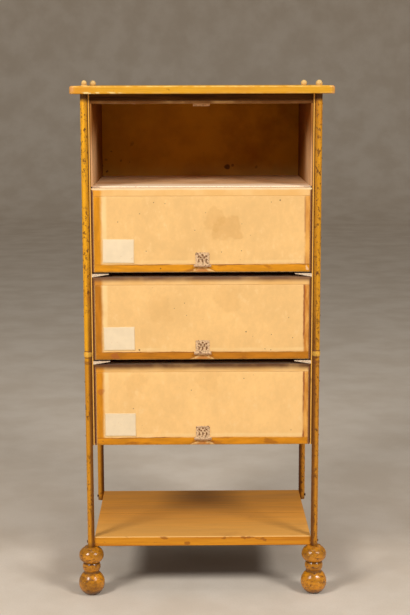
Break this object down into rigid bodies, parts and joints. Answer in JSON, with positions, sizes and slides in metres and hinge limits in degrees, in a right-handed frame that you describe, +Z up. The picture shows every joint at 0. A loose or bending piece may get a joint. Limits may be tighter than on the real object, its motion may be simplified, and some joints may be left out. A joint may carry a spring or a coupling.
{
  "type": "sewing thread drawer cabinet",
  "caption": "Slim painted stand on turned feet with a case of pull-out pasteboard cartons, each closed by a hinged front flap with a stamped pull, over a low open shelf.",
  "frame": {"origin": "on the floor, under the middle of the top board and midway between the feet", "axes": "+X to the user's right, +Y away from the user, +Z up; the cartons pull out along -Y"},
  "size_m": [0.4602, 0.3278, 0.9361],
  "materials": {
    "top_paint": "old ochre-yellow paint, worn at the edges",
    "post_paint": "ochre-yellow paint with dark specks in the manner of bamboo",
    "turned_wood": "ochre paint rubbed through to brown wood",
    "shelf_wood": "orange-brown varnished wood, ochre front edge",
    "case_board": "thin board with ochre paint",
    "runner_wood": "bare pale wood, greyed",
    "pasteboard": "pasteboard covered in ochre paper",
    "lining_paper": "aged cream paper",
    "face_paper": "aged cream paper with ochre margins",
    "hinge_cloth": "thin cream binding cloth, worn pale on the fold",
    "pull_metal": "stamped plated sheet, dull and rust-stained",
    "iron": "dark iron"
  },
  "bodies": {
    "root": {"foot_front_left": "turned_wood", "foot_front_right": "turned_wood", "foot_rear_left": "turned_wood", "foot_rear_right": "turned_wood", "post_lower_front_left": "post_paint", "post_lower_front_right": "post_paint", "post_lower_rear_left": "post_paint", "post_lower_rear_right": "post_paint", "post_upper_front_left": "post_paint", "post_upper_front_right": "post_paint", "post_upper_rear_left": "post_paint", "post_upper_rear_right": "post_paint", "finial_front_left": "post_paint", "finial_front_right": "post_paint", "finial_rear_left": "post_paint", "finial_rear_right": "post_paint", "top_board": "top_paint", "shelf_board_front": "shelf_wood", "shelf_board_rear": "shelf_wood", "shelf_screws": "iron", "case_side_left": "case_board", "case_side_right": "case_board", "case_back": "case_board", "case_bottom": "case_board", "top_rail": "case_board", "case_pins": "iron", "runners_left": "runner_wood", "runners_right": "runner_wood"},
    "carton_1": {"carton_1_shell": "pasteboard", "carton_1_lining": "lining_paper", "carton_1_hinge_cloth": "hinge_cloth"},
    "flap_1": {"flap_1_board": "pasteboard", "flap_1_facing": "face_paper", "flap_1_hinge_cloth": "hinge_cloth", "flap_1_pull": "pull_metal", "flap_1_rivets": "pull_metal"},
    "carton_2": {"carton_2_shell": "pasteboard", "carton_2_lining": "lining_paper", "carton_2_hinge_cloth": "hinge_cloth"},
    "flap_2": {"flap_2_board": "pasteboard", "flap_2_facing": "face_paper", "flap_2_hinge_cloth": "hinge_cloth", "flap_2_pull": "pull_metal", "flap_2_rivets": "pull_metal"},
    "carton_3": {"carton_3_shell": "pasteboard", "carton_3_lining": "lining_paper", "carton_3_hinge_cloth": "hinge_cloth"},
    "flap_3": {"flap_3_board": "pasteboard", "flap_3_facing": "face_paper", "flap_3_hinge_cloth": "hinge_cloth", "flap_3_pull": "pull_metal", "flap_3_rivets": "pull_metal"},
    "carton_4": {"carton_4_shell": "pasteboard", "carton_4_lining": "lining_paper", "carton_4_hinge_cloth": "hinge_cloth"},
    "flap_4": {"flap_4_board": "pasteboard", "flap_4_facing": "face_paper", "flap_4_hinge_cloth": "hinge_cloth", "flap_4_pull": "pull_metal", "flap_4_rivets": "pull_metal"}
  },
  "joints": [
    {"name": "carton_1_slide", "type": "slide", "parent": "root", "child": "carton_1", "axis": [0, -1, 0], "range_m": [0, 0.25]},
    {"name": "flap_1_hinge", "type": "hinge", "parent": "carton_1", "child": "flap_1", "pos_m": [0, -0.1418, 0.8971], "axis": [1, 0, 0], "range_deg": [-169, 0]},
    {"name": "carton_2_slide", "type": "slide", "parent": "root", "child": "carton_2", "axis": [0, -1, 0], "range_m": [0, 0.25]},
    {"name": "flap_2_hinge", "type": "hinge", "parent": "carton_2", "child": "flap_2", "pos_m": [0, -0.1418, 0.745], "axis": [1, 0, 0], "range_deg": [-80, 89]},
    {"name": "carton_3_slide", "type": "slide", "parent": "root", "child": "carton_3", "axis": [0, -1, 0], "range_m": [0, 0.25]},
    {"name": "flap_3_hinge", "type": "hinge", "parent": "carton_3", "child": "flap_3", "pos_m": [0, -0.1418, 0.5867], "axis": [1, 0, 0], "range_deg": [-80, 89]},
    {"name": "carton_4_slide", "type": "slide", "parent": "root", "child": "carton_4", "axis": [0, -1, 0], "range_m": [0, 0.25]},
    {"name": "flap_4_hinge", "type": "hinge", "parent": "carton_4", "child": "flap_4", "pos_m": [0, -0.1418, 0.4284], "axis": [1, 0, 0], "range_deg": [-80, 89]}
  ]
}
